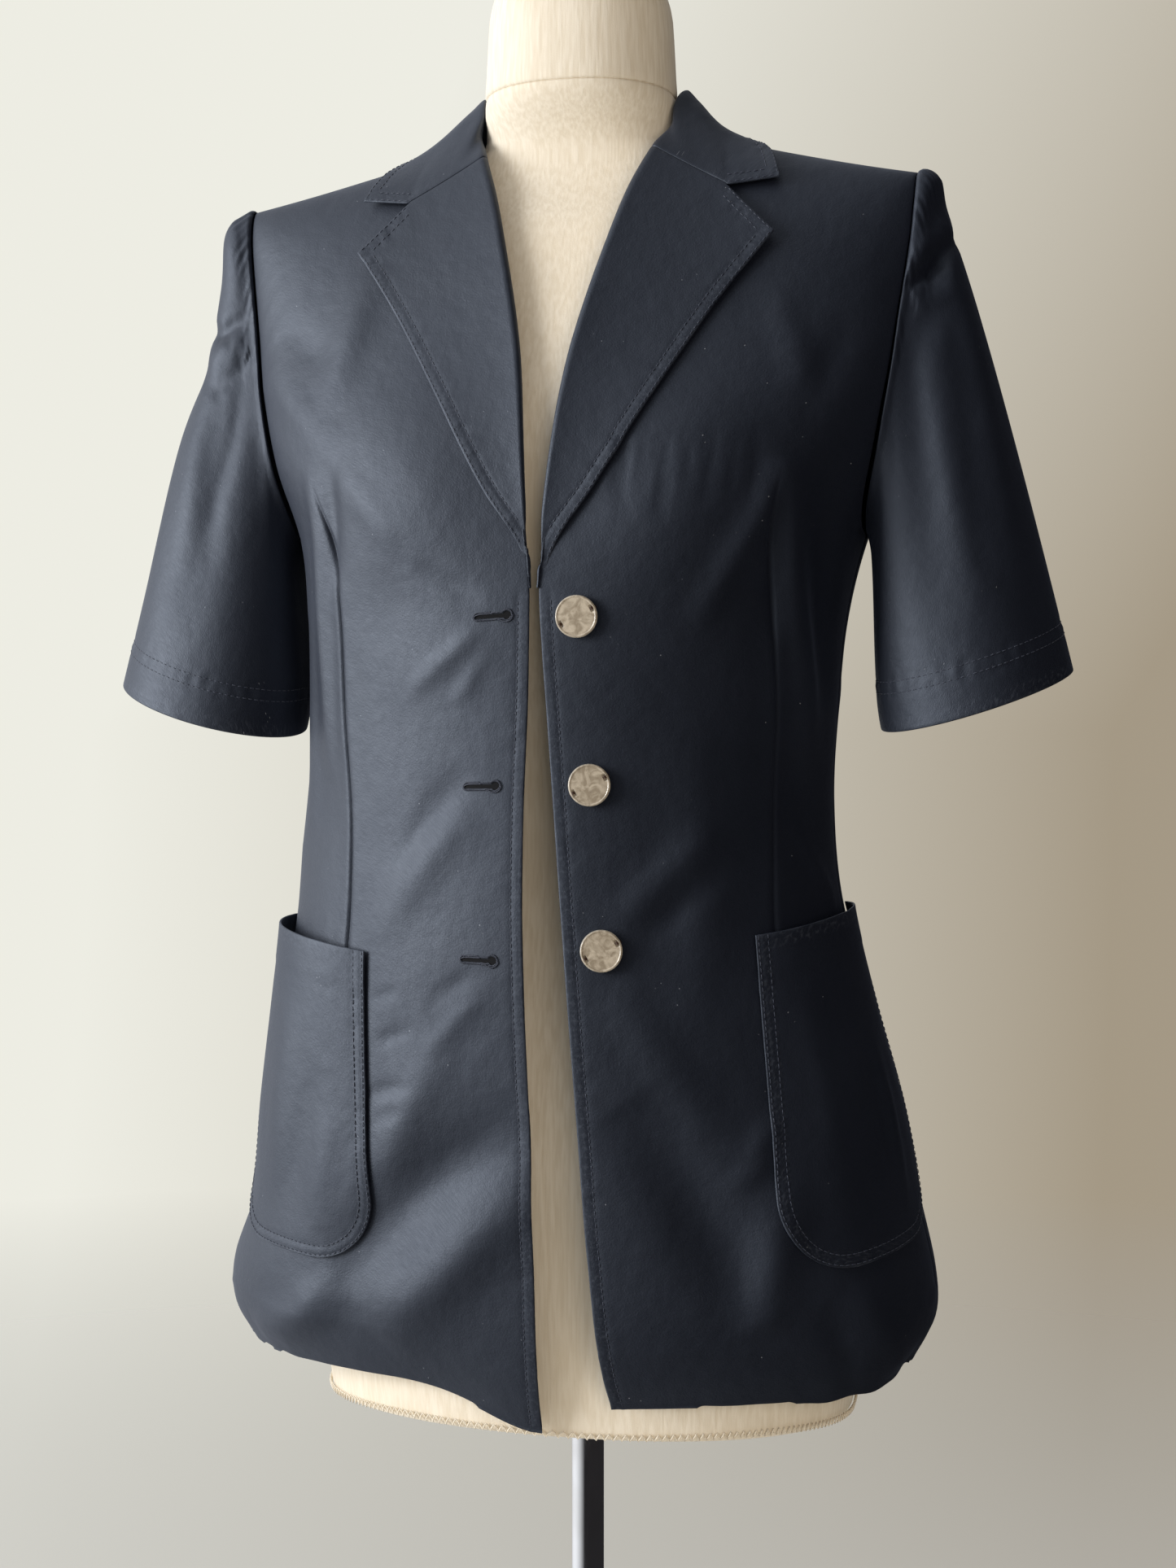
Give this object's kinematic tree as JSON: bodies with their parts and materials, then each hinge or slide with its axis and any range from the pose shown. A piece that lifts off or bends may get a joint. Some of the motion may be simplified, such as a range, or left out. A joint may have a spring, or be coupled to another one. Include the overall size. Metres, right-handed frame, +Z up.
{
  "type": "short-sleeve blazer on a dress form",
  "caption": "Open navy blazer with short sleeves, notched lapels, patch pockets and pearly buttons, worn on a limbless cream dress form on a chrome pole with a round foot.",
  "frame": {"origin": "middle of the foot's underside, on the pole's axis", "axes": "+Z up, the blazer's front faces -Y, +X is the wearer's left"},
  "size_m": [0.5667, 0.34, 1.515],
  "materials": {
    "navy_sateen": "smooth sateen with a soft sheen",
    "cream_jersey": "crinkled knit cover",
    "pearl": "pearly, polished",
    "chrome": "polished"
  },
  "bodies": {
    "root": {"front_right": "navy_sateen", "front_left": "navy_sateen", "back_right": "navy_sateen", "back_left": "navy_sateen", "sleeve_right": "navy_sateen", "sleeve_left": "navy_sateen", "collar": "navy_sateen", "lapel_right": "navy_sateen", "lapel_left": "navy_sateen", "pocket_right": "navy_sateen", "pocket_left": "navy_sateen", "button_1": "pearl", "button_2": "pearl", "button_3": "pearl", "form_torso": "cream_jersey", "form_neck": "cream_jersey", "pole": "chrome", "foot": "chrome"}
  },
  "joints": []
}
